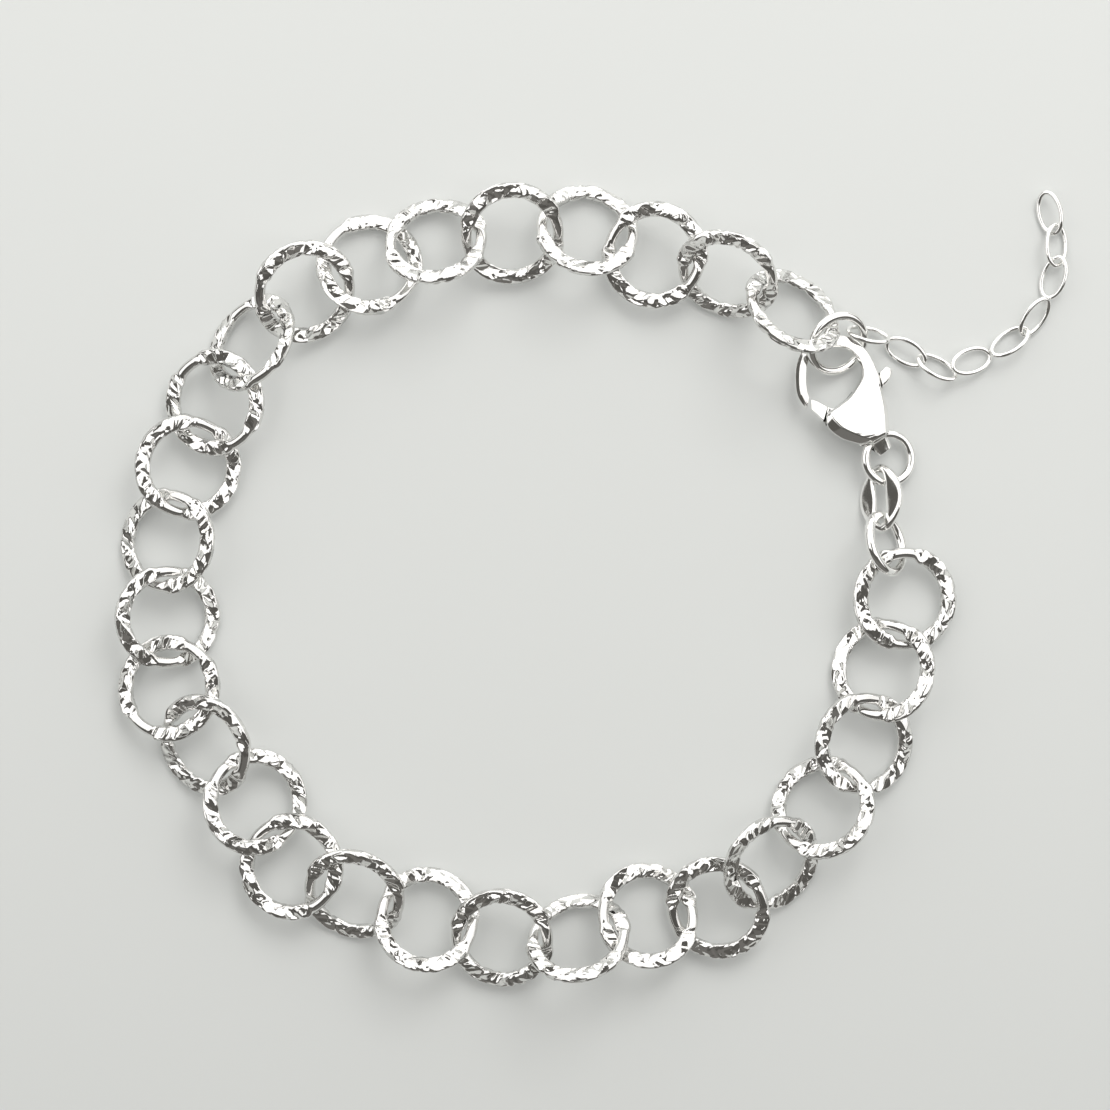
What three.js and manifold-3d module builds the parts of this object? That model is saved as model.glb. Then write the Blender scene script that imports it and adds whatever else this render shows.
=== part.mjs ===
// Circle link bracelet in polished silver, lying in a closed loop: twenty-eight hammered round
// links, a lobster clasp that closes on a jump ring, an oval connector whose two sides are
// hammered into leaves, and a short extension chain of oval links that runs out from the clasp.
// Millimetres, +Z up. z = 0 is the surface that it lies on, and the origin is the middle of the
// whole bracelet in plan.
import * as THREE from 'three';
import { mergeVertices } from 'three/addons/utils/BufferGeometryUtils.js';
import Module from 'manifold-3d';

const wasm = await Module();
wasm.setup();

// ---- Driving dimensions ----

// A big link: round wire, hammered into a flat band on both sides. Two short arcs opposite each
// other stay round, because the neighbouring links turn on them. bandStart, bandFull: where the
// band begins and where it is full, as multiples of the half width of a round arc.
const LINK = {
  radius: 3.55,
  wire: 0.86,
  bandWidth: 1.17,
  bandThickness: 0.7,
  roundArc: 32,
  bandStart: 0.6,
  bandFull: 1.6,
};

// Jump rings: centreline radius and wire diameter.
const CLASP_RING = { radius: 2.3, wire: 0.72 };
const TAIL_RING = { radius: 1.9, wire: 0.7 };
const END_RING = { radius: 2.25, wire: 0.78 };

// The leaf connector: an oval wire link, whose two long sides are hammered out into leaves.
const LEAF = { semiLength: 2.35, semiWidth: 1.25, wire: 0.7, leafWidth: 1.5, leafThickness: 0.38 };

// An oval link of the extension chain.
const OVAL = { semiLength: 1.62, semiWidth: 0.9, wire: 0.38 };

// The clasp: its place, the heights of its hook, of the slot and of the lever in it, and the
// pivot. pinSeat: how far the pin is set into the body above and below the slot.
const CLASP = {
  place: [18.5, 16.25],
  hookBottom: 1.0,
  hookTop: 1.8,
  slotBottom: 0.85,
  slotTop: 1.65,
  leverBottom: 0.95,
  leverTop: 1.55,
  tabBottom: 0.75,
  tabTop: 1.95,
  pivot: [2.05, -1.8],
  pinDiameter: 0.7,
  pinSeat: 0.3,
  pinBore: 0.94,
};

// The facets of a ring: steps round it, and sides of its wire. Pins and holes have their own.
const LINK_FACETS = { steps: 22, sides: 6 };
const RING_FACETS = { steps: 20, sides: 8 };
const OVAL_FACETS = { steps: 16, sides: 6 };
const HOLE_SIDES = 16;

// Corners closer than this are one corner.
const SAME_CORNER = 1e-4;

// How each big link lies, clockwise round the loop from the end ring to the clasp.
// x, y: its centre. tilt: its lean off the surface. uphill: the direction of its raised side.
// lift: how far a neighbour holds its low side off the surface. arc: where its round arcs are.
const BIG_LINKS = [
  //  x      y    tilt  uphill  lift   arc
  [ 24.0,  -0.9,   11,   174,   0.55,   92],
  [ 22.3,  -6.4,   23,   339,   0.00,   74],
  [ 20.8, -12.1,   21,   163,   0.20,   87],
  [ 17.6, -17.0,   29,   313,   0.05,   45],
  [ 13.6, -21.3,   33,   140,   0.00,   81],
  [  9.5, -24.8,   16,    53,   0.50,   16],
  [  4.1, -25.4,   21,   238,   0.30,  177],
  [ -1.3, -27.0,   45,   284,   0.05,  169],
  [ -7.2, -27.1,   20,    73,   0.45,    6],
  [-13.0, -25.7,   21,   245,   0.45,  162],
  [-18.6, -23.7,   32,    70,   0.00,  171],
  [-23.5, -21.6,   10,    10,   1.05,  132],
  [-26.3, -16.6,   21,   197,   0.40,  141],
  [-30.1, -12.2,   32,    33,   0.00,  164],
  [-33.0,  -7.8,   14,   330,   0.50,   54],
  [-33.1,  -2.3,   21,   170,   0.05,   89],
  [-33.1,   3.6,   24,   351,   0.00,   72],
  [-31.5,   9.3,   16,   163,   0.55,   69],
  [-29.4,  14.3,   19,     8,   0.65,  127],
  [-26.5,  18.9,   43,   325,   0.00,  118],
  [-22.4,  22.8,   30,   127,   0.65,    1],
  [-17.5,  25.0,   17,   257,   0.10,  138],
  [-12.3,  26.7,   34,   281,   0.30,  179],
  [ -6.4,  27.3,   27,    97,   0.60,    8],
  [ -0.6,  27.6,   30,   253,   0.00,  172],
  [  4.6,  25.7,   14,    46,   0.90,  151],
  [ 10.2,  24.1,   49,    62,   0.00,    6],
  [ 15.2,  21.3,   46,   235,   0.15,    0],
];

// The oval links, from the clasp ring out to the free end. turn: direction of the long axis.
const OVAL_LINKS = [
  //  x      y    tilt  uphill  lift   turn
  [ 21.2,  19.6,   53,   254,   0.35,  171],
  [ 24.2,  18.3,   28,    52,   0.00,  153],
  [ 26.6,  17.1,   39,   242,   0.00,  151],
  [ 29.3,  17.6,   16,   204,   0.00,   20],
  [ 32.3,  19.1,   34,   302,   0.00,   36],
  [ 34.2,  21.0,   37,   134,   0.00,   59],
  [ 35.7,  24.1,   26,   359,   0.00,   71],
  [ 35.9,  26.6,   29,   187,   0.00,   87],
  [ 35.4,  29.1,   33,    18,   0.00,  102],
];

// The jump rings and the leaf connector at the clasp.
const CLASP_RING_LIES = [18.8, 18.9, 36, 135, 0.00, 0];
const TAIL_RING_LIES = [22.8, 10.0, 16, 175, 0.20, 0];
const LEAF_LIES = [22.2, 6.9, 44, 350, 0.00, 95];
const END_RING_LIES = [22.5, 3.4, 54, 197, 0.00, 7];

// The clasp's body as a horn, from the hook's tip round to the tail. Each row is a cross-section:
// its end on the inside of the horn, its end on the outside, and its lowest and highest points.
const { hookBottom, hookTop } = CLASP;
const HORN = [
  //  inside         outside       bottom       top
  [[-1.88, -1.45], [-2.10, -2.55], hookBottom, hookTop],
  [[-2.05, -0.95], [-2.70, -1.50], hookBottom, hookTop],
  [[-2.15, -0.10], [-2.90, -0.30], hookBottom, hookTop],
  [[-2.05,  1.00], [-2.75,  1.15], hookBottom, hookTop],
  [[-1.55,  1.80], [-2.20,  2.35], hookBottom, hookTop],
  [[-0.80,  2.20], [-1.10,  2.95], hookBottom, hookTop],
  [[ 0.10,  2.35], [ 0.10,  3.25], hookBottom, hookTop],
  [[ 1.00,  2.20], [ 1.35,  3.15], hookBottom, hookTop],
  [[ 1.70,  1.65], [ 2.35,  2.35],       0.95,    1.85],
  [[ 2.10,  0.85], [ 2.95,  1.40],       0.75,    1.95],
  [[ 2.10,  0.00], [ 3.45,  0.30],       0.40,    2.05],
  [[ 1.65, -0.80], [ 3.65, -0.70],       0.15,    2.15],
  [[ 1.00, -1.65], [ 3.90, -1.55],       0.00,    2.25],
  [[ 0.15, -2.30], [ 4.00, -2.25],       0.00,    2.35],
  [[-0.70, -2.90], [ 4.05, -2.90],       0.00,    2.45],
  [[-0.45, -3.80], [ 4.10, -3.60],       0.00,    2.50],
  [[ 0.60, -4.45], [ 4.10, -4.00],       0.00,    2.50],
  [[ 1.55, -4.90], [ 4.10, -4.15],       0.00,    2.45],
  [[ 2.35, -5.25], [ 4.10, -4.35],       0.00,    2.30],
  [[ 2.80, -5.35], [ 4.15, -4.50],       0.05,    2.10],
  [[ 3.10, -5.60], [ 4.25, -4.75],       0.20,    2.00],
  [[ 3.60, -6.10], [ 4.50, -5.40],       0.70,    1.80],
];

// The tail's eye: a round hole through the tail, level with the hook, and turned across it.
// drill: the length of the cutter, which is more than the tail's.
const EYE = { place: [3.25, -4.85], height: 1.25, diameter: 1.35, turn: 39.5, drill: 6 };

// The slot in the body: it opens on the gate's side and on the thumb tab's side.
const SLOT = [
  [-1.10, -3.75], [-0.30, -3.70], [0.60, -3.45], [1.85, -3.10], [2.80, -2.60], [3.75, -2.25],
  [4.70, -1.80], [5.70, -1.65], [5.70, 1.35], [3.90, 1.35], [3.45, 0.60], [2.85, 0.20],
  [2.05, -0.45], [1.40, -1.15], [0.60, -1.80], [-0.15, -1.95], [-1.10, -1.80],
];

// The lever: a flat plate from the gate to the thumb tab, thicker at both ends.
const LEVER_PLATE = [
  [-1.25, -1.85], [-0.70, -2.15], [-0.10, -2.40], [0.80, -2.10], [1.55, -1.35], [2.20, -0.55],
  [2.95, 0.10], [3.60, 0.50], [4.00, 0.86], [4.28, 1.00], [4.60, 0.60], [4.46, 0.05],
  [4.15, -0.65], [3.60, -1.50], [2.80, -2.25], [1.80, -2.90], [0.60, -3.30], [-0.30, -3.50],
  [-0.80, -3.45], [-1.25, -3.05],
];
const GATE = [
  [-1.76, -1.62], [-1.25, -1.85], [-0.50, -2.25], [-0.78, -2.90], [-0.85, -3.43],
  [-1.25, -3.05], [-1.72, -2.55],
];
const THUMB_TAB = [
  [3.52, 0.40], [3.76, 0.64], [4.00, 0.86], [4.28, 1.00], [4.60, 0.60], [4.46, 0.05],
  [4.15, -0.65], [3.83, -1.02], [3.74, -0.65],
];

// ---- Materials ----

const hammeredSilver = new THREE.MeshStandardMaterial({
  color: 0xd9d7d2, roughness: 0.14, metalness: 1,
});
const polishedSilver = new THREE.MeshStandardMaterial({
  color: 0xe2e0dc, roughness: 0.1, metalness: 1,
});

// ---- Wire rings ----

const radians = THREE.MathUtils.degToRad;

/** Corners of a regular polygon, as a multiple of the radius of the circle with its area. */
function cornerRadius(sides) {
  const wedge = (2 * Math.PI) / sides;
  return Math.sqrt(wedge / Math.sin(wedge));
}

/**
 * A closed ring of wire about Z, oval with its long axis along X. `section(angle)` gives the
 * wire's half width in the plane of the ring and its half thickness across it.
 */
function wireRing(semiLength, semiWidth, section, { steps, sides }) {
  const tube = 0.5;
  const ring = new THREE.TorusGeometry(1, tube, sides, steps);
  const corner = cornerRadius(sides);
  const position = ring.getAttribute('position');
  for (let i = 0; i < position.count; i += 1) {
    const angle = Math.atan2(position.getY(i), position.getX(i));
    const across = (Math.hypot(position.getX(i), position.getY(i)) - 1) / tube;
    const up = position.getZ(i) / tube;
    const [halfWidth, halfThickness] = section(angle);
    const outward = new THREE.Vector2(semiWidth * Math.cos(angle), semiLength * Math.sin(angle));
    outward.setLength(corner * halfWidth * across);
    position.setXYZ(
      i,
      semiLength * Math.cos(angle) + outward.x,
      semiWidth * Math.sin(angle) + outward.y,
      corner * halfThickness * up,
    );
  }
  return closed(ring);
}

/** The geometry with only its positions left, and with its shared corners merged. */
function closed(geometry) {
  const bare = geometry.clone();
  bare.deleteAttribute('normal');
  bare.deleteAttribute('uv');
  const merged = mergeVertices(bare, SAME_CORNER);
  merged.computeVertexNormals();
  return merged;
}

const roundWire = (diameter) => () => [diameter / 2, diameter / 2];

/** The section of a big link: round at angles 0 and 180, and a flat band between them. */
function linkSection(angle) {
  const fromArc = Math.abs(Math.sin(angle));
  const edge = Math.sin(radians(LINK.roundArc / 2));
  const band = THREE.MathUtils.smoothstep(fromArc, edge * LINK.bandStart, edge * LINK.bandFull);
  return [
    THREE.MathUtils.lerp(LINK.wire, LINK.bandWidth, band) / 2,
    THREE.MathUtils.lerp(LINK.wire, LINK.bandThickness, band) / 2,
  ];
}

/** The section of the leaf connector: round at its two bends, and a wide leaf on each side. */
function leafSection(angle) {
  const leaf = Math.sin(angle) ** 4;
  return [
    THREE.MathUtils.lerp(LEAF.wire, LEAF.leafWidth, leaf) / 2,
    THREE.MathUtils.lerp(LEAF.wire, LEAF.leafThickness, leaf) / 2,
  ];
}

/**
 * Lays a ring down: turned in its own plane, then leaned by `tilt` until its side towards
 * `uphill` is the highest, with its lowest point `lift` above the surface.
 */
function lay(name, geometry, material, [x, y, tilt, uphill, lift, turn]) {
  const ring = new THREE.Mesh(geometry, material);
  const leanAxis = new THREE.Vector3(Math.sin(radians(uphill)), -Math.cos(radians(uphill)), 0);
  ring.name = name;
  ring.quaternion.setFromAxisAngle(leanAxis, radians(tilt));
  ring.rotateZ(radians(turn));
  const lowest = new THREE.Box3().setFromObject(ring, true).min.z;
  ring.position.set(x, y, lift - lowest);
  return ring;
}

// ---- The clasp ----

/** A closed geometry as a solid that can be joined and cut. */
function toSolid(geometry) {
  const mesh = closed(geometry);
  return new wasm.Manifold(new wasm.Mesh({
    numProp: 3,
    vertProperties: new Float32Array(mesh.getAttribute('position').array),
    triVerts: new Uint32Array(mesh.index.array),
  }));
}

/** A joined and cut solid as a geometry. */
function toGeometry(solid) {
  const { vertProperties, triVerts } = solid.getMesh();
  const geometry = new THREE.BufferGeometry();
  geometry.setAttribute('position', new THREE.BufferAttribute(vertProperties, 3));
  geometry.setIndex(new THREE.BufferAttribute(triVerts, 1));
  geometry.computeVertexNormals();
  return geometry;
}

/** A flat plate with the given outline, between two heights. */
function plate(outline, bottom, top) {
  const shape = new THREE.Shape(outline.map(([x, y]) => new THREE.Vector2(x, y)));
  const geometry = new THREE.ExtrudeGeometry(shape, { depth: top - bottom, bevelEnabled: false });
  return geometry.translate(0, 0, bottom);
}

/** An upright cylinder at a place in plan, between two heights. */
function upright([x, y], diameter, bottom, top) {
  const radius = diameter / 2;
  const geometry = new THREE.CylinderGeometry(radius, radius, top - bottom, HOLE_SIDES);
  return geometry.rotateX(Math.PI / 2).translate(x, y, (bottom + top) / 2);
}

/** The horn: rounded box sections through the rows, joined into one closed skin. */
function horn(rows) {
  // One corner of a section each: its place from the inside (-1) to the outside (1), and from
  // the bottom (-1) to the top (1).
  const corners = [
    [-1, -0.4], [-0.6, -1], [0.6, -1], [1, -0.4], [1, 0.4], [0.6, 1], [-0.6, 1], [-1, 0.4],
  ];
  const points = rows.flatMap(([inside, outside, bottom, top]) => corners.map(([across, up]) => [
    THREE.MathUtils.lerp(inside[0], outside[0], (across + 1) / 2),
    THREE.MathUtils.lerp(inside[1], outside[1], (across + 1) / 2),
    THREE.MathUtils.lerp(bottom, top, (up + 1) / 2),
  ]));
  const n = corners.length;
  const faces = [];
  for (let row = 0; row < rows.length - 1; row += 1) {
    for (let k = 0; k < n; k += 1) {
      const a = row * n + k;
      const b = row * n + ((k + 1) % n);
      faces.push([a, b, a + n], [b, b + n, a + n]);
    }
  }
  const last = (rows.length - 1) * n;
  for (let k = 1; k < n - 1; k += 1) {
    faces.push([0, k + 1, k], [last, last + k, last + k + 1]);
  }
  const geometry = new THREE.BufferGeometry();
  geometry.setAttribute('position', new THREE.Float32BufferAttribute(points.flat(), 3));
  geometry.setIndex(faces.flat());
  return geometry;
}

function claspBody() {
  const { pivot, pinDiameter, pinSeat, slotBottom, slotTop } = CLASP;
  const { place, height, diameter, turn, drill } = EYE;
  const eye = new THREE.CylinderGeometry(diameter / 2, diameter / 2, drill, HOLE_SIDES);
  eye.rotateZ(radians(turn - 90)).translate(place[0], place[1], height);
  const slot = plate(SLOT, slotBottom, slotTop);
  const pin = upright(pivot, pinDiameter, slotBottom - pinSeat, slotTop + pinSeat);
  return toGeometry(
    toSolid(horn(HORN)).subtract(toSolid(slot)).add(toSolid(pin)).subtract(toSolid(eye)),
  );
}

function claspLever() {
  const { pivot, pinBore, leverBottom, leverTop, tabBottom, tabTop } = CLASP;
  return toGeometry(
    toSolid(plate(LEVER_PLATE, leverBottom, leverTop))
      .add(toSolid(plate(GATE, hookBottom, hookTop)))
      .add(toSolid(plate(THUMB_TAB, tabBottom, tabTop)))
      .subtract(toSolid(upright(pivot, pinBore, tabBottom, tabTop))),
  );
}

// ---- The bracelet ----

const bracelet = new THREE.Group();

const link = wireRing(LINK.radius, LINK.radius, linkSection, LINK_FACETS);
BIG_LINKS.forEach((lies, i) => {
  const name = `link_${String(i + 1).padStart(2, '0')}`;
  bracelet.add(lay(name, link, hammeredSilver, lies));
});

const oval = wireRing(OVAL.semiLength, OVAL.semiWidth, roundWire(OVAL.wire), OVAL_FACETS);
OVAL_LINKS.forEach((lies, i) => {
  bracelet.add(lay(`ext_link_${i + 1}`, oval, polishedSilver, lies));
});

for (const [name, ring, lies] of [
  ['clasp_ring', CLASP_RING, CLASP_RING_LIES],
  ['tail_ring', TAIL_RING, TAIL_RING_LIES],
  ['end_ring', END_RING, END_RING_LIES],
]) {
  const geometry = wireRing(ring.radius, ring.radius, roundWire(ring.wire), RING_FACETS);
  bracelet.add(lay(name, geometry, polishedSilver, lies));
}

const leaf = wireRing(LEAF.semiLength, LEAF.semiWidth, leafSection, RING_FACETS);
bracelet.add(lay('leaf_connector', leaf, polishedSilver, LEAF_LIES));

const clasp = new THREE.Group();
clasp.position.set(...CLASP.place, 0);
for (const [name, geometry] of [['clasp_body', claspBody()], ['clasp_lever', claspLever()]]) {
  const piece = new THREE.Mesh(geometry, polishedSilver);
  piece.name = name;
  clasp.add(piece);
}
bracelet.add(clasp);

export default bracelet;
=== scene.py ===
"""Circle link bracelet in polished silver, lying in a closed loop on a pale surface."""

import bpy
import numpy as np
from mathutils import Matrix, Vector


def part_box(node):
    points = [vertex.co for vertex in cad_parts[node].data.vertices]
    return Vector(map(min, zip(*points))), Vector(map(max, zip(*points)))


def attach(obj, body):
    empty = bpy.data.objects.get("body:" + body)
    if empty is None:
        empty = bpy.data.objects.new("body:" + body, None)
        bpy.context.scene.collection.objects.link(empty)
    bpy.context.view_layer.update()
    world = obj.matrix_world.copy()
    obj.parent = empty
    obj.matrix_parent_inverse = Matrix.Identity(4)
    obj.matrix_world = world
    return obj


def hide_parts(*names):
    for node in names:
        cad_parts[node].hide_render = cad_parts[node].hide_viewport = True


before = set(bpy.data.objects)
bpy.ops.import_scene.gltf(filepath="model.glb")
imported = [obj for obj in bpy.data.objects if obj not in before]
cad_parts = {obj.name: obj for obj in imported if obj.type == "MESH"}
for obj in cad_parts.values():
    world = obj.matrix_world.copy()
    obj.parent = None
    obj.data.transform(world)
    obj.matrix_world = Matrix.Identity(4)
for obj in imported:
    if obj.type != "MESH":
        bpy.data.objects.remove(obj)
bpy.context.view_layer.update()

# A millimetre, in metres.
MM = 0.001


# ---- The big links ----
# Round links of 0.86 mm sterling wire, soldered shut, one through the next. Each is hammered
# flat on its two sides and cut all over with slanted bright facets. Two short arcs opposite each
# other stay round and smooth, because the neighbouring links turn on them.

LINK_RADIUS = 3.55 * MM
LINK_WIRE = 0.43 * MM
BAND_HALF_WIDTH = 0.62 * MM
BAND_HALF_THICKNESS = 0.39 * MM
ROUND_ARC = np.radians(32)
LINK_STEPS, LINK_SIDES = 320, 40
LINK_SEED = 11

# How the round wire turns into the flat band: by how much the exponent of its section grows, and
# where the band and its hammer marks set in and are complete, both as multiples of the sine of
# half the round arc. The marks of the two faces blend over FACE_BLEND of the section's height.
BAND_SQUARENESS = 0.6
BAND_ONSET = np.array([0.8, 1.5])
MARK_ONSET = np.array([0.5, 1.2])
FACE_BLEND = 0.3

# The hammer marks. The middles of the two flat sides, and from there the places of the steep bars
# and of the long cuts, in degrees. The two rows of cuts are staggered by CUT_STAGGER both ways.
SIDE_MIDDLES = (90, 270)
BAR_PLACES = np.arange(40, 86, 11)
CUT_PLACES = np.arange(-34, 35, 12.5)
CUT_STAGGER = 3

# The ranges that a mark's numbers are drawn from, in this order: how far it strays along the link
# in degrees, its place across the band in mm, its slant in degrees, then its half length, half
# width and depth in mm. GROOVE_POWER shapes a groove's two flanks.
STEEP_BAR = ((-3, 3), (-0.2, 0.2), (25, 80), (0.65, 1.0), (0.26, 0.4), (0.07, 0.15))
LONG_CUT = ((-4, 4), (0.1, 0.42), (0, 60), (0.6, 0.95), (0.24, 0.38), (0.07, 0.15))
GROOVE_POWER = 1.15

# The small bright facets between the hammer's cuts: their length, their width and their slant to
# the wire, the girth that they are spread round, how strongly each is tipped its own way, and how
# far the pattern moves on from one link to the next. Lengths are in mm.
FACET_LENGTH, FACET_WIDTH = 1.1, 0.45
FACET_SLANT = np.radians(35)
LINK_GIRTH = 3.6
FACET_TILT = 0.29
FACET_SHIFT = 30

# How each link lies, clockwise round the loop from the end ring to the clasp, in degrees.
# tilt: its lean off the surface. uphill: the direction of its raised side. arc: the direction
# of its first round arc, in its own plane.
LINK_LIES = [
    # tilt, uphill, arc
    (11, 174, 92), (23, 339, 74), (21, 163, 87), (29, 313, 45), (33, 140, 81), (16, 53, 16),
    (21, 238, 177), (45, 284, 169), (20, 73, 6), (21, 245, 162), (32, 70, 171), (10, 10, 132),
    (21, 197, 141), (32, 33, 164), (14, 330, 54), (21, 170, 89), (24, 351, 72), (16, 163, 69),
    (19, 8, 127), (43, 325, 118), (30, 127, 1), (17, 257, 138), (34, 281, 179), (27, 97, 8),
    (30, 253, 172), (14, 46, 151), (47, 65, 6), (46, 235, 0),
]


def even_angles(steps, sides):
    """Angles for a ring's grid: 2 pi i / steps along its centreline, as a column, and
    2 pi j / sides round its section, as a row."""
    return (np.linspace(0, 2 * np.pi, steps, endpoint=False)[:, None],
            np.linspace(0, 2 * np.pi, sides, endpoint=False)[None, :])


def smoothstep(low, high, x):
    """0 below low and 1 above high, with the cubic 3t^2 - 2t^3 of the way between them."""
    t = np.clip((x - low) / (high - low), 0, 1)
    return t * t * (3 - 2 * t)


def oval_wire(angle, side, semi_length, semi_width, half_width, half_thickness, square=2.0):
    """A wire bent into an oval about Z: the centreline is (semi_length cos a, semi_width sin a),
    and the section is a superellipse across it, half_width cos^(2/n) s outwards in the oval's
    plane and half_thickness sin^(2/n) s along Z, with n the `square` exponent.
    Returns the points and the unit normals of the section."""
    across = np.sign(np.cos(side)) * np.abs(np.cos(side)) ** (2 / square)
    up = np.sign(np.sin(side)) * np.abs(np.sin(side)) ** (2 / square)
    outward = np.stack([semi_width * np.cos(angle), semi_length * np.sin(angle)])
    outward = outward / np.hypot(*outward)
    points = np.stack(np.broadcast_arrays(
        semi_length * np.cos(angle) + half_width * across * outward[0],
        semi_width * np.sin(angle) + half_width * across * outward[1],
        half_thickness * up), axis=-1)
    lean_out, lean_up = np.cos(side) / half_width, np.sin(side) / half_thickness
    size = np.hypot(lean_out, lean_up)
    normals = np.stack(np.broadcast_arrays(
        lean_out / size * outward[0], lean_out / size * outward[1], lean_up / size), axis=-1)
    return points, normals


def hammer_marks(rng):
    """The facets of one face of a link, as rows of (angle, place across, slant, half length,
    half width, depth). Each side has steep bars at its two ends, which lean opposite ways, and
    between them two staggered rows of long lens-shaped cuts that cross at a small angle."""
    marks = []
    for middle in SIDE_MIDDLES:
        for end in (-1, 1):
            for away in BAR_PLACES:
                stray, across, slant, long, wide, deep = [rng.uniform(*r) for r in STEEP_BAR]
                marks.append((middle + end * (away + stray), across, end * slant,
                              long, wide, deep))
        for row in (-1, 1):
            for along in CUT_PLACES + CUT_STAGGER * row:
                stray, across, slant, long, wide, deep = [rng.uniform(*r) for r in LONG_CUT]
                marks.append((middle + along + stray, row * across, row * slant,
                              long, wide, deep))
    marks = np.array(marks)
    marks[:, [0, 2]] = np.radians(marks[:, [0, 2]])
    marks[:, [1, 3, 4, 5]] *= MM
    return marks


def cut_depth(angle, across, marks):
    """How deep the facets cut at each point: every mark is a blunt groove with pointed ends, its
    depth times 1 - (along/half length)^2 - |beside/half width|^GROOVE_POWER, and the deepest
    groove wins, so that neighbours meet in a sharp ridge."""
    centre, place, slant, long, wide, deep = marks.T[:, :, None, None]
    turn = (angle - centre + np.pi) % (2 * np.pi) - np.pi
    x, y = LINK_RADIUS * turn, across - place
    along = x * np.cos(slant) + y * np.sin(slant)
    beside = y * np.cos(slant) - x * np.sin(slant)
    groove = 1 - (along / long) ** 2 - np.abs(beside / wide) ** GROOVE_POWER
    return np.max(deep * np.clip(groove, 0, 1), axis=0)


def link_surface(rng):
    """A big link about Z: an oval_wire whose section blends from round at angles 0 and 180 to a
    flat band between them, lowered along its normals by cut_depth on both faces.
    Returns the points, how deep each was cut, and how much of the band each is on."""
    angle, side = even_angles(LINK_STEPS, LINK_SIDES)
    from_round = np.abs(np.sin(angle))
    arc_edge = np.sin(ROUND_ARC / 2)
    band = smoothstep(*(arc_edge * BAND_ONSET), from_round)
    half_width = LINK_WIRE + (BAND_HALF_WIDTH - LINK_WIRE) * band
    half_thickness = LINK_WIRE + (BAND_HALF_THICKNESS - LINK_WIRE) * band
    points, normals = oval_wire(
        angle, side, LINK_RADIUS, LINK_RADIUS, half_width, half_thickness,
        2 + BAND_SQUARENESS * band)
    across = BAND_HALF_WIDTH * np.cos(side)
    upper = smoothstep(-FACE_BLEND, FACE_BLEND, np.sin(side))
    cut = upper * cut_depth(angle, across, hammer_marks(rng))
    cut = cut + (1 - upper) * cut_depth(angle, across, hammer_marks(rng))
    cut = cut * smoothstep(*(arc_edge * MARK_ONSET), from_round)
    return points - normals * cut[:, :, None], cut, np.broadcast_to(band, cut.shape)


def lay_down(points, node, tilt, uphill, turn):
    """Points about Z, turned by `turn` in their own plane, then leaned by `tilt` about the level
    line across `uphill`, so that this side is highest, and moved to the middle of the CAD node.
    The lean is I + sin(tilt) K + (1 - cos(tilt)) K^2, with K the cross product with that line."""
    tilt, uphill, turn = np.radians([tilt, uphill, turn])
    spin = np.array([
        [np.cos(turn), -np.sin(turn), 0], [np.sin(turn), np.cos(turn), 0], [0, 0, 1]])
    axis = np.array([np.sin(uphill), -np.cos(uphill), 0])
    cross = np.array([[0, 0, axis[1]], [0, 0, -axis[0]], [-axis[1], axis[0], 0]])
    lean = np.eye(3) + np.sin(tilt) * cross + (1 - np.cos(tilt)) * cross @ cross
    low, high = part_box(node)
    return points @ (lean @ spin).T + (np.array(low) + np.array(high)) / 2


def add_object(name, data):
    """A new object in the scene for a mesh, a light or a camera."""
    thing = bpy.data.objects.new(name, data)
    bpy.context.scene.collection.objects.link(thing)
    return thing


def grid_piece(name, points, material, body, node, close_sides=True, marks=()):
    """A mesh from a grid of points that closes on itself along its second axis, and along its
    first as well if close_sides is set; otherwise its two ends get caps. It stands for the CAD
    node and rides on the body. `marks` are named grids that become point attributes."""
    steps, sides = points.shape[:2]
    index = np.arange(steps * sides).reshape(steps, sides)
    here = index if close_sides else index[:-1]
    ahead = np.roll(index, -1, axis=0) if close_sides else index[1:]
    quads = np.stack([here, ahead, np.roll(ahead, -1, axis=1), np.roll(here, -1, axis=1)], -1)
    faces = quads.reshape(-1, 4).tolist()
    if not close_sides:
        faces += [index[0].tolist(), index[-1][::-1].tolist()]
    mesh = bpy.data.meshes.new(name)
    mesh.from_pydata(points.reshape(-1, 3), [], faces)
    mesh.polygons.foreach_set("use_smooth", np.ones(len(faces), dtype=bool))
    for mark, values in marks:
        mesh.attributes.new(mark, "FLOAT", "POINT").data.foreach_set("value", values.ravel())
    mesh.materials.append(material)
    piece = add_object(name, mesh)
    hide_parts(node)
    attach(piece, body)
    return piece


def facet_map(piece, start):
    """Gives a link its own UV map in millimetres: u = start + 2 pi radius i / steps along its
    centreline, and v = girth j / sides round its section, at the corners of each quad."""
    i, j = np.meshgrid(np.arange(LINK_STEPS), np.arange(LINK_SIDES), indexing="ij")
    along = np.stack([i, i + 1, i + 1, i], -1) * (2 * np.pi * LINK_RADIUS / MM / LINK_STEPS)
    around = np.stack([j, j, j + 1, j + 1], -1) * (LINK_GIRTH / LINK_SIDES)
    corners = np.stack([start + along, around], -1)
    piece.data.uv_layers.new(name="facets").data.foreach_set("uv", corners.ravel())


# The wear on silver. Its haze: the noise's scale per mm and detail, the span of the noise that
# counts, and the multiples of the roughness that this span becomes. Its dents: the noise's scale
# per mm and detail, and how strongly they show.
HAZE_NOISE, HAZE_SPAN, HAZE_RANGE = (0.9, 4), (0.3, 0.7), (0.7, 1.4)
DENT_NOISE, DENT_STRENGTH = (2.5, 3), 0.35

# The grey of the uncut skin, as a share of the silver's own colour, and the depths of cut in mm
# between which it clears. UNTIPPED is a normal map's colour where the surface isn't tipped.
TARNISH_SHADE, TARNISH_CLEARS = 0.86, (0.02, 0.06)
UNTIPPED = (0.5, 0.5, 1, 1)


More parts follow.
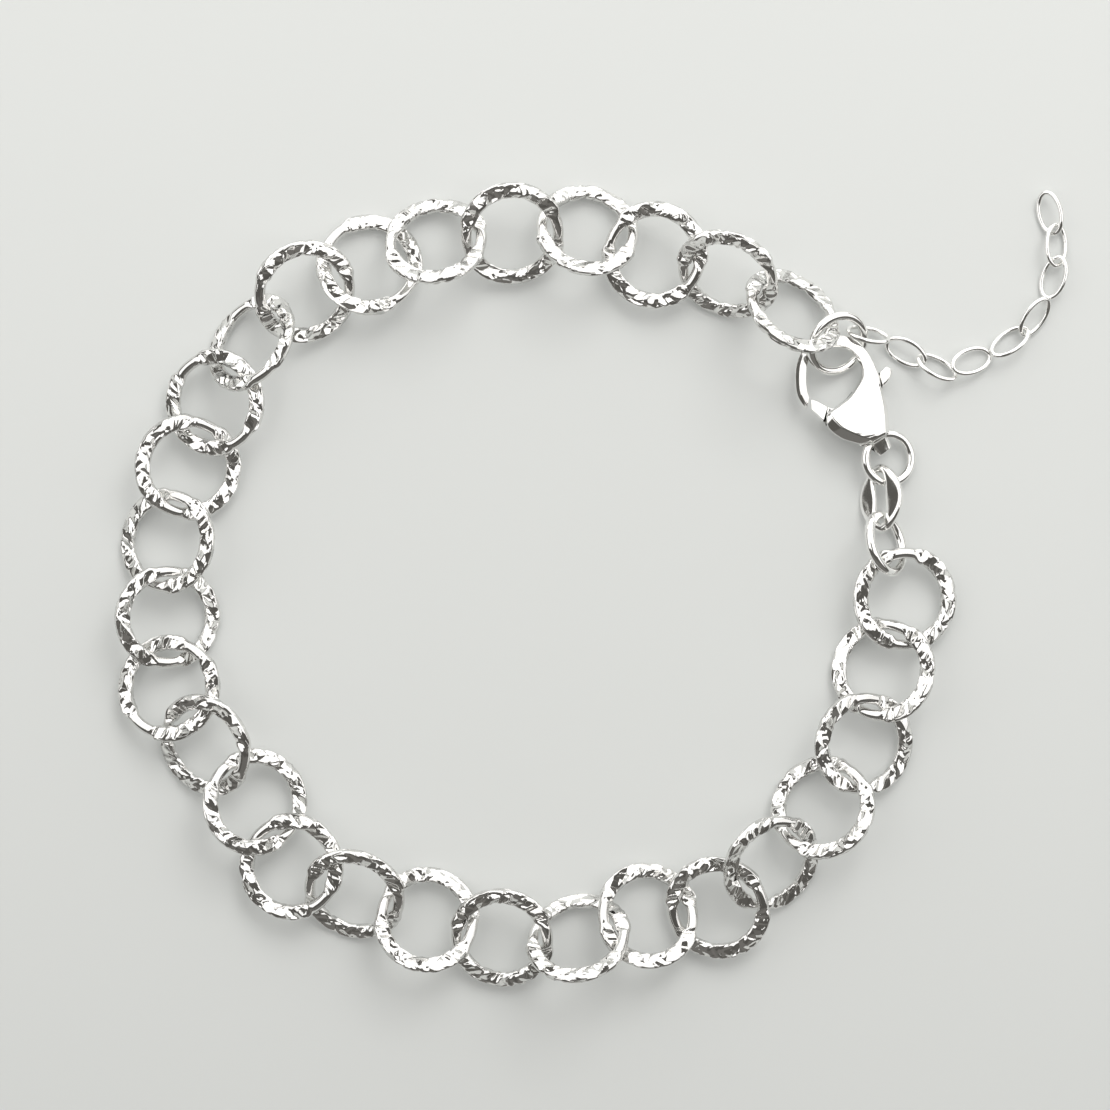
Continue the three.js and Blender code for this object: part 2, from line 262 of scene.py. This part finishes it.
def add_node(material, kind, values):
    """A shader node in the material, with the given values on its inputs."""
    node = material.node_tree.nodes.new(f"ShaderNode{kind}")
    for name, value in values.items():
        node.inputs[name].default_value = value
    return node


def noise(material, scale, detail):
    """Even noise through the whole object, with `scale` features to a millimetre."""
    texture = add_node(material, "TexNoise", {"Scale": scale / MM, "Detail": detail})
    place = add_node(material, "TexCoord", {})
    material.node_tree.links.new(place.outputs["Object"], texture.inputs["Vector"])
    return texture.outputs["Fac"]


def point_mark(material, mark):
    """The values of a named point attribute."""
    node = add_node(material, "Attribute", {})
    node.attribute_name = mark
    return node.outputs["Fac"]


def silver(name, colour, roughness, dent):
    """Polished sterling silver: a bright metal with a fine haze of wear in its gloss, and small
    dents of the given depth. Returns the material and the node of its dents."""
    material = bpy.data.materials.new(name)
    material.use_nodes = True
    connect = material.node_tree.links.new
    metal = material.node_tree.nodes["Principled BSDF"]
    metal.inputs["Metallic"].default_value = 1.0
    metal.inputs["Base Color"].default_value = (*colour, 1)
    haze = add_node(material, "MapRange", {
        "From Min": HAZE_SPAN[0], "From Max": HAZE_SPAN[1],
        "To Min": roughness * HAZE_RANGE[0], "To Max": roughness * HAZE_RANGE[1]})
    connect(noise(material, *HAZE_NOISE), haze.inputs["Value"])
    connect(haze.outputs["Result"], metal.inputs["Roughness"])
    dents = add_node(material, "Bump", {"Strength": DENT_STRENGTH, "Distance": dent})
    connect(noise(material, *DENT_NOISE), dents.inputs["Height"])
    connect(dents.outputs["Normal"], metal.inputs["Normal"])
    return material, dents


def hammer_skin(material, colour, dents):
    """Hammered skin on a silver, under its dents: every cell of a stretched Voronoi pattern on
    the link's own UV map is tipped its own way, as a flat facet, and the uncut skin between the
    deep cuts holds a little grey tarnish."""
    connect = material.node_tree.links.new
    metal = material.node_tree.nodes["Principled BSDF"]
    tarnish = add_node(material, "ValToRGB", {})
    shades = ([c * TARNISH_SHADE for c in colour], colour)
    for stop, place, shade in zip(tarnish.color_ramp.elements, TARNISH_CLEARS, shades):
        stop.position, stop.color = place, (*shade, 1)
    connect(point_mark(material, "cut"), tarnish.inputs["Fac"])
    connect(tarnish.outputs["Color"], metal.inputs["Base Color"])

    skin = add_node(material, "UVMap", {})
    skin.uv_map = "facets"
    stretch = add_node(material, "Mapping", {
        "Rotation": (0, 0, FACET_SLANT), "Scale": (FACET_LENGTH, FACET_WIDTH, 1)})
    stretch.vector_type = "TEXTURE"
    connect(skin.outputs["UV"], stretch.inputs["Vector"])
    cells = add_node(material, "TexVoronoi", {"Scale": 1})
    cells.voronoi_dimensions = "2D"
    connect(stretch.outputs["Vector"], cells.inputs["Vector"])
    tip = add_node(material, "Mix", {})
    tip.data_type = "RGBA"
    tip.inputs["A"].default_value = UNTIPPED
    connect(point_mark(material, "band"), tip.inputs["Factor"])
    connect(cells.outputs["Color"], tip.inputs["B"])
    facets = add_node(material, "NormalMap", {"Strength": FACET_TILT})
    facets.uv_map = "facets"
    connect(tip.outputs["Result"], facets.inputs["Color"])
    connect(facets.outputs["Normal"], dents.inputs["Normal"])


HAMMERED_COLOUR = (0.93, 0.922, 0.905)
hammered_silver, hammered_dents = silver(
    "hammered_silver", HAMMERED_COLOUR, roughness=0.08, dent=0.012 * MM)
hammer_skin(hammered_silver, HAMMERED_COLOUR, hammered_dents)

rng = np.random.default_rng(LINK_SEED)
for number, lies in enumerate(LINK_LIES, start=1):
    node = f"link_{number:02d}"
    points, cut, band = link_surface(rng)
    link = grid_piece(
        f"hammered_{node}", lay_down(points, node, *lies), hammered_silver,
        "bracelet", node, marks=[("cut", cut / MM), ("band", band)])
    facet_map(link, start=FACET_SHIFT * number)


# ---- The jump rings ----
# Plain rings of round silver wire. One holds the last big link and the extension chain and takes
# the clasp's hook, one joins the clasp's tail to the leaf connector, and one joins that to the
# first big link.

JUMP_RINGS = [
    # node, radius and wire's half thickness in mm, tilt, uphill, turn
    ("clasp_ring", 2.30, 0.36, 36, 135, 0),
    ("tail_ring", 1.90, 0.35, 16, 175, 0),
    ("end_ring", 2.25, 0.39, 54, 197, 0),
]
RING_STEPS, RING_SIDES = 160, 28

polished_silver, _ = silver(
    "polished_silver", (0.94, 0.935, 0.92), roughness=0.08, dent=0.006 * MM)
ring_angle, ring_side = even_angles(RING_STEPS, RING_SIDES)


def polished_ring(node, points, lies):
    """A ring or small link of polished silver in the chain, laid where its CAD node lies."""
    grid_piece(f"polished_{node}", lay_down(points, node, *lies), polished_silver,
               "bracelet", node)


for node, radius, wire, *lies in JUMP_RINGS:
    points, _ = oval_wire(ring_angle, ring_side, radius * MM, radius * MM, wire * MM, wire * MM)
    polished_ring(node, points, lies)


# ---- The clasp's body ----
# A lobster clasp cast in one piece of sterling silver and polished: a round hook, a domed body
# that thickens towards its tail, and a flat tail block with a round eye for the tail ring. A slot
# through its middle takes the lever, which turns on a pin in it.

# Cross-sections from the hook's tip round to the tail, in mm from the clasp's own middle.
# inside, outside: the two ends of the section in plan. bottom, top: its heights. The next two
# pairs are the slopes on the inside and on the outside: how wide each is, and how far it falls.
CLASP_ROWS = np.array([
    # inside        outside     bottom  top   in slope    out slope
    (-1.88, -1.45, -2.10, -2.55, 1.00, 1.80, 0.40, 0.22, 0.30, 0.30),
    (-2.03, -0.95, -2.78, -1.50, 1.00, 1.80, 0.46, 0.22, 0.32, 0.30),
    (-2.10, -0.10, -2.98, -0.30, 1.00, 1.80, 0.46, 0.22, 0.32, 0.30),
    (-2.01, 1.00, -2.86, 1.17, 1.00, 1.80, 0.42, 0.22, 0.32, 0.30),
    (-1.55, 1.80, -2.22, 2.37, 1.00, 1.80, 0.32, 0.26, 0.34, 0.28),
    (-0.80, 2.20, -1.10, 2.95, 1.00, 1.80, 0.20, 0.26, 0.40, 0.26),
    (0.10, 2.35, 0.10, 3.25, 1.00, 1.80, 0.14, 0.26, 0.70, 0.26),
    (1.00, 2.20, 1.35, 3.15, 1.00, 1.80, 0.12, 0.30, 0.84, 0.30),
    (1.70, 1.65, 2.35, 2.35, 0.95, 1.84, 0.12, 0.34, 0.80, 0.24),
    (2.10, 0.85, 2.95, 1.40, 0.75, 1.94, 0.12, 0.40, 0.70, 0.22),
    (2.10, 0.00, 3.45, 0.30, 0.40, 2.05, 0.16, 0.44, 0.50, 0.26),
    (1.65, -0.80, 3.65, -0.70, 0.15, 2.16, 0.18, 0.44, 0.20, 0.20),
    (1.00, -1.65, 3.95, -1.55, 0.00, 2.27, 0.20, 0.44, 0.28, 0.52),
    (0.15, -2.30, 4.14, -2.25, 0.00, 2.35, 0.22, 0.46, 0.34, 0.60),
    (-0.56, -2.90, 4.22, -2.90, 0.00, 2.43, 0.30, 0.30, 0.36, 0.60),
    (-0.44, -3.90, 4.28, -3.60, 0.00, 2.55, 0.92, 0.42, 0.38, 0.65),
    (0.48, -4.68, 4.30, -4.00, 0.00, 2.65, 1.22, 0.50, 0.40, 0.70),
    (1.50, -5.05, 4.28, -4.15, 0.00, 2.69, 1.00, 0.44, 0.38, 0.70),
    (2.32, -5.27, 4.22, -4.35, 0.00, 2.56, 0.70, 0.44, 0.32, 0.65),
    (2.80, -5.35, 4.15, -4.50, 0.05, 2.12, 0.30, 0.40, 0.22, 0.45),
    (3.10, -5.60, 4.25, -4.75, 0.20, 1.98, 0.22, 0.30, 0.22, 0.30),
    (3.60, -6.10, 4.50, -5.40, 0.70, 1.80, 0.18, 0.22, 0.18, 0.22),
])

# The finish of a lofted bar, in mm: the slope at its two lower edges, how far the corners beside
# the middle of its top lie lower, and the rounding of its edges and its two ends. An edge's
# rounding takes at most CORNER_SHARE of a side. ROW_STEPS and CORNER_STEPS are the points between
# two rows and between two guide points, and TIP_BENDS are the steps round an end.
LOW_SLOPE = 0.2
CROWN = 0.03
EDGE_ROUND = 0.16
TIP_ROUND = 0.14
CORNER_SHARE = 0.45
ROW_STEPS, CORNER_STEPS = 12, 3
TIP_BENDS = np.radians([72, 54, 36, 18])[:, None, None]

# What is cut and joined, in mm from the clasp's own middle: the slot in plan and its heights, the
# pin, and the eye, whose level axis is turned by EYE_TURN. Edges sharper than SHARP_EDGE aren't
# smoothed.
SLOT = [
    (-1.10, -3.75), (-0.30, -3.70), (0.60, -3.45), (1.85, -3.10), (2.80, -2.60), (3.75, -2.25),
    (4.70, -1.80), (5.70, -1.65), (5.70, 1.35), (3.90, 1.35), (3.45, 0.60), (2.85, 0.20),
    (2.05, -0.45), (1.40, -1.15), (0.60, -1.80), (-0.15, -1.95), (-1.10, -1.80),
]
SLOT_HEIGHTS = (0.85, 1.65)
PIN_PLACE, PIN_RADIUS, PIN_HEIGHTS = (2.05, -1.80), 0.35, (0.6, 1.9)
EYE_PLACE, EYE_RADIUS, EYE_HALF_LENGTH = (3.25, -4.85, 1.25), 0.675, 3
EYE_TURN = np.radians(39.5)
SHARP_EDGE = np.radians(40)

# How far the clasp's own middle lies from the left and from the far side of its CAD box, in mm.
CLASP_LEFT, CLASP_FAR = 2.90, 3.25


def smooth_rows(rows, steps):
    """Rows of numbers joined smoothly: between rows P1 and P2, with P0 and P3 beyond them, a
    Catmull-Rom curve, P1 + t (P2 - P0)/2 + t^2 (P0 - 5/2 P1 + 2 P2 - P3/2)
    + t^3 (3/2 P1 - 3/2 P2 + (P3 - P0)/2)."""
    padded = np.concatenate([rows[:1], rows, rows[-1:]])
    p0, p1, p2, p3 = (padded[i:len(padded) - 3 + i, None] for i in range(4))
    t = (np.arange(steps) / steps)[None, :, None]
    curve = (p1 + t * (p2 - p0) / 2 + t ** 2 * (p0 - 2.5 * p1 + 2 * p2 - p3 / 2)
             + t ** 3 * (1.5 * p1 - 1.5 * p2 + (p3 - p0) / 2))
    return np.concatenate([curve.reshape(-1, rows.shape[1]), rows[-1:]])


def loft(rows):
    """A solid bar through rows of sections, as a grid of points in mm. A section is a box with
    sloped edges and a slightly crowned top. Each of its corners P is turned into three, at P and
    at EDGE_ROUND to both sides, and they guide a closed quadratic B-spline,
    (1-t)^2/2 Q0 + (1/2 + t - t^2) Q1 + t^2/2 Q2. Both ends are rounded over TIP_ROUND."""
    rows = smooth_rows(rows, ROW_STEPS)
    inside, outside = rows[:, 0:2], rows[:, 2:4]
    width = np.hypot(*(outside - inside).T)
    bottom, top, in_wide, in_fall, out_wide, out_fall = rows[:, 4:].T
    nil = np.zeros_like(width)
    across = np.stack([
        nil, in_wide, (in_wide + width - out_wide) / 2, width - out_wide, width, width,
        width - LOW_SLOPE, nil + LOW_SLOPE, nil], axis=1)
    up = np.stack([
        top - in_fall, top - CROWN, top, top - CROWN, top - out_fall, bottom + LOW_SLOPE,
        bottom, bottom, bottom + LOW_SLOPE], axis=1)
    along = (outside - inside) / width[:, None]
    plan = inside[:, None] + across[..., None] * along[:, None]
    corners = np.concatenate([plan, up[..., None]], axis=2)
    legs = [np.roll(corners, shift, axis=1) - corners for shift in (1, -1)]
    sizes = [np.linalg.norm(leg, axis=2, keepdims=True) for leg in legs]
    near = [corners + leg * np.minimum(EDGE_ROUND / size, CORNER_SHARE)
            for leg, size in zip(legs, sizes)]
    guide = np.stack([near[0], corners, near[1]], axis=2).reshape(len(rows), -1, 3)
    t = (np.arange(CORNER_STEPS) / CORNER_STEPS)[None, None, :, None]
    q0, q1, q2 = (np.roll(guide, shift, axis=1)[:, :, None] for shift in (1, 0, -1))
    skin = (1 - t) ** 2 / 2 * q0 + (0.5 + t - t ** 2) * q1 + t ** 2 / 2 * q2
    skin = skin.reshape(len(rows), -1, 3)

    def tip(end, next_section):
        middle = end.mean(axis=0)
        way = middle - next_section.mean(axis=0)
        reach = TIP_ROUND * way / np.linalg.norm(way)
        size = np.linalg.norm(end - middle, axis=1, keepdims=True)
        shrink = 1 - TIP_ROUND / size * (1 - np.cos(TIP_BENDS))
        return middle + (end - middle) * shrink + reach * (np.sin(TIP_BENDS) - 1)

    first, last = tip(skin[0], skin[1]), tip(skin[-1], skin[-2])[::-1]
    return np.concatenate([first, skin[1:-1], last])


def block(name, outline, bottom, top):
    """An upright prism to cut with or to join on: an outline in plan between two heights, all in
    metres."""
    count = len(outline)
    points = [(x, y, z) for z in (bottom, top) for x, y in outline]
    sides = [(i, (i + 1) % count, (i + 1) % count + count, i + count) for i in range(count)]
    mesh = bpy.data.meshes.new(name)
    mesh.from_pydata(points, [], sides + [range(count)[::-1], range(count, 2 * count)])
    return add_object(name, mesh)


def circle(place, radius, count=48):
    """Points on a circle: place + radius (cos a, sin a)."""
    angle = np.arange(count) * 2 * np.pi / count
    return [(place[0] + radius * np.cos(a), place[1] + radius * np.sin(a)) for a in angle]


def carve(piece, tools):
    """Cuts each tool out of a piece, or joins it on where it says so, and leaves no modifier."""
    for tool, operation in tools:
        change = piece.modifiers.new(tool.name, "BOOLEAN")
        change.object, change.operation, change.solver = tool, operation, "EXACT"
    ready = piece.evaluated_get(bpy.context.evaluated_depsgraph_get())
    mesh = bpy.data.meshes.new_from_object(ready)
    piece.modifiers.clear()
    piece.data = mesh
    for tool, _ in tools:
        bpy.data.objects.remove(tool)
    mesh.set_sharp_from_angle(angle=SHARP_EDGE)


clasp_low, clasp_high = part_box("clasp_body")
CLASP_PLACE = np.array([clasp_low[0] + CLASP_LEFT * MM, clasp_high[1] - CLASP_FAR * MM, 0])


def clasp_block(name, outline, bottom, top):
    """A block given in the clasp's own millimetres, moved to the clasp's place."""
    points = np.array(outline) * MM + CLASP_PLACE[:2]
    return block(name, points.tolist(), bottom * MM, top * MM)


clasp_body = grid_piece(
    "clasp_body_shell", loft(CLASP_ROWS) * MM + CLASP_PLACE, polished_silver,
    "bracelet", "clasp_body", close_sides=False)
eye = block(
    "eye", circle((0, 0), EYE_RADIUS * MM), -EYE_HALF_LENGTH * MM, EYE_HALF_LENGTH * MM)
eye_turn = np.array([
    [0, -np.sin(EYE_TURN), np.cos(EYE_TURN)],
    [0, np.cos(EYE_TURN), np.sin(EYE_TURN)],
    [-1, 0, 0]])
eye_points = np.array([v.co for v in eye.data.vertices]) @ eye_turn.T
eye_points = eye_points + np.array(EYE_PLACE) * MM + CLASP_PLACE
eye.data.vertices.foreach_set("co", eye_points.ravel())
carve(clasp_body, [
    (clasp_block("slot", SLOT, *SLOT_HEIGHTS), "DIFFERENCE"),
    (clasp_block("pin", circle(PIN_PLACE, PIN_RADIUS), *PIN_HEIGHTS), "UNION"),
    (eye, "DIFFERENCE"),
])


# ---- The clasp's lever ----
# A spring lever of the same silver in the body's slot: its gate closes the hook's mouth, its flat
# middle turns on the pin, and its thumb tab stands out on the other side.

# Cross-sections from the gate's tip to the thumb tab's, with the same columns as the body's.
LEVER_ROWS = np.array([
    # inside        outside     bottom  top   in slope    out slope
    (-1.76, -1.66, -1.74, -2.58, 1.00, 1.80, 0.74, 0.20, 0.12, 0.14),
    (-1.25, -1.85, -1.25, -3.05, 1.00, 1.84, 0.98, 0.24, 0.14, 0.18),
    (-0.58, -2.22, -0.91, -3.40, 1.00, 1.88, 0.98, 0.24, 0.14, 0.22),
    (-0.48, -2.27, -0.84, -3.43, 1.00, 1.88, 0.98, 0.24, 0.14, 0.22),
    (-0.42, -2.29, -0.76, -3.46, 0.95, 1.55, 0.06, 0.06, 0.06, 0.06),
    (-0.05, -2.38, -0.25, -3.50, 0.95, 1.55, 0.06, 0.06, 0.06, 0.06),
    (0.80, -2.10, 0.60, -3.30, 0.95, 1.55, 0.06, 0.06, 0.06, 0.06),
    (1.55, -1.35, 1.80, -2.90, 0.95, 1.55, 0.06, 0.06, 0.06, 0.06),
    (2.20, -0.55, 2.80, -2.25, 0.95, 1.55, 0.06, 0.06, 0.06, 0.06),
    (2.90, 0.02, 3.40, -1.60, 0.95, 1.55, 0.08, 0.08, 0.08, 0.08),
    (3.40, 0.33, 3.69, -1.10, 0.90, 1.58, 0.08, 0.08, 0.08, 0.08),
    (3.57, 0.39, 3.80, -0.74, 0.75, 1.94, 0.80, 0.16, 0.12, 0.16),
    (3.61, 0.43, 3.88, -0.68, 0.75, 1.94, 0.80, 0.16, 0.12, 0.16),
    (3.70, 0.54, 4.06, -0.54, 0.72, 1.96, 0.80, 0.20, 0.14, 0.20),
    (3.78, 0.60, 4.32, -0.20, 0.72, 1.96, 0.68, 0.18, 0.14, 0.20),
    (3.86, 0.68, 4.46, 0.16, 0.74, 1.94, 0.50, 0.16, 0.12, 0.18),
    (3.95, 0.78, 4.50, 0.42, 0.78, 1.90, 0.40, 0.14, 0.12, 0.16),
    (4.08, 0.86, 4.48, 0.60, 0.84, 1.84, 0.26, 0.10, 0.10, 0.12),
])
BORE_RADIUS, BORE_HEIGHTS = 0.47, (0.5, 2.2)

clasp_lever = grid_piece(
    "clasp_lever_shell", loft(LEVER_ROWS) * MM + CLASP_PLACE, polished_silver,
    "lever", "clasp_lever", close_sides=False)
carve(clasp_lever, [
    (clasp_block("bore", circle(PIN_PLACE, BORE_RADIUS), *BORE_HEIGHTS), "DIFFERENCE"),
])


# ---- The leaf connector ----
# An oval link of silver wire, whose two long sides are hammered out into thin pointed leaves.
# Its two bends stay round wire, where the tail ring and the end ring pass through.

LEAF_LENGTH, LEAF_WIDTH = 2.35 * MM, 1.25 * MM
LEAF_WIRE = 0.35 * MM
LEAF_HALF_WIDTH, LEAF_HALF_THICKNESS = 0.75 * MM, 0.19 * MM
LEAF_LIES = (44, 350, 95)  # tilt, uphill, turn

# How fast a leaf tapers to its points, and by how much the exponent of its section grows.
LEAF_TAPER, LEAF_SQUARENESS = 4, 3

leaf = np.sin(ring_angle) ** LEAF_TAPER
points, _ = oval_wire(
    ring_angle, ring_side, LEAF_LENGTH, LEAF_WIDTH,
    LEAF_WIRE + (LEAF_HALF_WIDTH - LEAF_WIRE) * leaf,
    LEAF_WIRE + (LEAF_HALF_THICKNESS - LEAF_WIRE) * leaf, 2 + LEAF_SQUARENESS * leaf)
polished_ring("leaf_connector", points, LEAF_LIES)


# ---- The extension chain ----
# Small oval links of thin silver wire, soldered shut. The chain runs out from the clasp ring and
# lies loose, so that the clasp can close on any of its links for a longer fit.

OVAL_LENGTH, OVAL_WIDTH, OVAL_WIRE = 1.62 * MM, 0.90 * MM, 0.19 * MM
OVAL_STEPS, OVAL_SIDES = 96, 20
OVAL_LIES = [
    # tilt, uphill, turn
    (53, 254, 171), (28, 52, 153), (39, 242, 151), (16, 204, 20), (34, 302, 36),
    (37, 134, 59), (26, 359, 71), (29, 187, 87), (33, 18, 102),
]

oval_angle, oval_side = even_angles(OVAL_STEPS, OVAL_SIDES)
points, _ = oval_wire(oval_angle, oval_side, OVAL_LENGTH, OVAL_WIDTH, OVAL_WIRE, OVAL_WIRE)
for number, lies in enumerate(OVAL_LIES, start=1):
    polished_ring(f"ext_link_{number}", points, lies)


# ---- The floor, the light and the camera ----
# A plain pale surface with a soft gloss, in a tent of white cloth. The surface's emission is
# painted
# fill light: a faint even glow that lightens the shadows cast on it. The main light comes from a
# soft window high on the far side, so shadows fall towards the viewer.

FLOOR_REACH = 1.5
FLOOR_COLOUR, FLOOR_ROUGHNESS = (0.50, 0.509, 0.497, 1), 0.5
# The floor's emission is painted fill light: a faint glow that lightens the shadows on it.
FLOOR_PAINTED_FILL, FLOOR_PAINTED_FILL_STRENGTH = (0.98, 1.0, 0.97, 1), 0.14

floor_mesh = bpy.data.meshes.new("floor")
floor_mesh.from_pydata(
    [(FLOOR_REACH * x, FLOOR_REACH * y, 0) for x, y in ((-1, -1), (1, -1), (1, 1), (-1, 1))],
    [], [(0, 1, 2, 3)])
floor = add_object("floor", floor_mesh)
glaze = bpy.data.materials.new("pale_glaze")
glaze.use_nodes = True
glaze_inputs = glaze.node_tree.nodes["Principled BSDF"].inputs
glaze_inputs["Base Color"].default_value = FLOOR_COLOUR
glaze_inputs["Roughness"].default_value = FLOOR_ROUGHNESS
glaze_inputs["Emission Color"].default_value = FLOOR_PAINTED_FILL
glaze_inputs["Emission Strength"].default_value = FLOOR_PAINTED_FILL_STRENGTH
floor_mesh.materials.append(glaze)


def soft_panel(name, place, turn, size, brightness, colour):
    """An even panel of light: its middle, its turn about X, Y and Z in degrees from facing
    straight down, its two sides in metres, and how bright it looks. A panel of brightness B and
    area A gives pi A B watts."""
    data = bpy.data.lights.new(name, "AREA")
    data.shape, data.color = "RECTANGLE", colour
    data.size, data.size_y = size
    data.energy = brightness * np.pi * size[0] * size[1]
    light = add_object(name, data)
    light.location, light.rotation_euler = place, np.radians(turn)
    light.visible_camera = False
    return light


# The tent is lit from outside. It is open over the object and towards the viewer's side, where
# the room behind stays dark. A white cloth also lies flat, just beyond the view's far side.
CLOTH = (1.0, 0.995, 0.985)
TENT = [
    # name, middle, turn, sides, brightness
    ("tent_top", (0, 0.205, 0.30), (0, 0, 0), (0.64, 0.25), 1.42),
    ("tent_top_left", (-0.20, 0.00, 0.30), (0, 0, 0), (0.24, 0.16), 1.3),
    ("tent_top_right", (0.185, 0.00, 0.30), (0, 0, 0), (0.27, 0.16), 1.3),
    ("tent_back", (0, 0.34, 0.15), (-90, 0, 0), (0.64, 0.30), 1.6),
    ("tent_left", (-0.32, 0.12, 0.205), (0, -90, 0), (0.19, 0.44), 1.2),
    ("tent_right", (0.32, 0.12, 0.18), (0, 90, 0), (0.24, 0.44), 1.1),
    ("cloth_back", (0, 0.194, 0.0004), (180, 0, 0), (0.64, 0.292), 1.25),
]
for panel in TENT:
    soft_panel(*panel, CLOTH)

# The window. The cloth hides it, so the silver doesn't reflect it.
window = soft_panel("window", (0.26, 0.56, 0.58), (-47, 0, -25), (0.45, 0.45), 5.2, CLOTH)
window.visible_glossy = False

# The dim room behind the viewer, and all around.
ROOM_FRONT, ROOM = (1.0, 0.97, 0.93), (0.10, 0.096, 0.088, 1)
soft_panel("room_front", (0, -0.40, 0.22), (90, 0, 0), (0.90, 0.40), 0.06, ROOM_FRONT)

world = bpy.data.worlds.new("room")
world.use_nodes = True
world.node_tree.nodes["Background"].inputs["Color"].default_value = ROOM
bpy.context.scene.world = world
bpy.context.scene.view_settings.view_transform = "Standard"

# The view from straight above, with the free end of the chain in the frame.
VIEW_CENTRE = (-3.1 * MM, 2.5 * MM)
VIEW_WIDTH = 86.6 * MM
LENS, SENSOR = 100, 36
camera_data = bpy.data.cameras.new("camera")
camera_data.lens, camera_data.sensor_width = LENS, SENSOR
camera = add_object("camera", camera_data)
camera.location = (*VIEW_CENTRE, VIEW_WIDTH * LENS / SENSOR)
bpy.context.scene.camera = camera
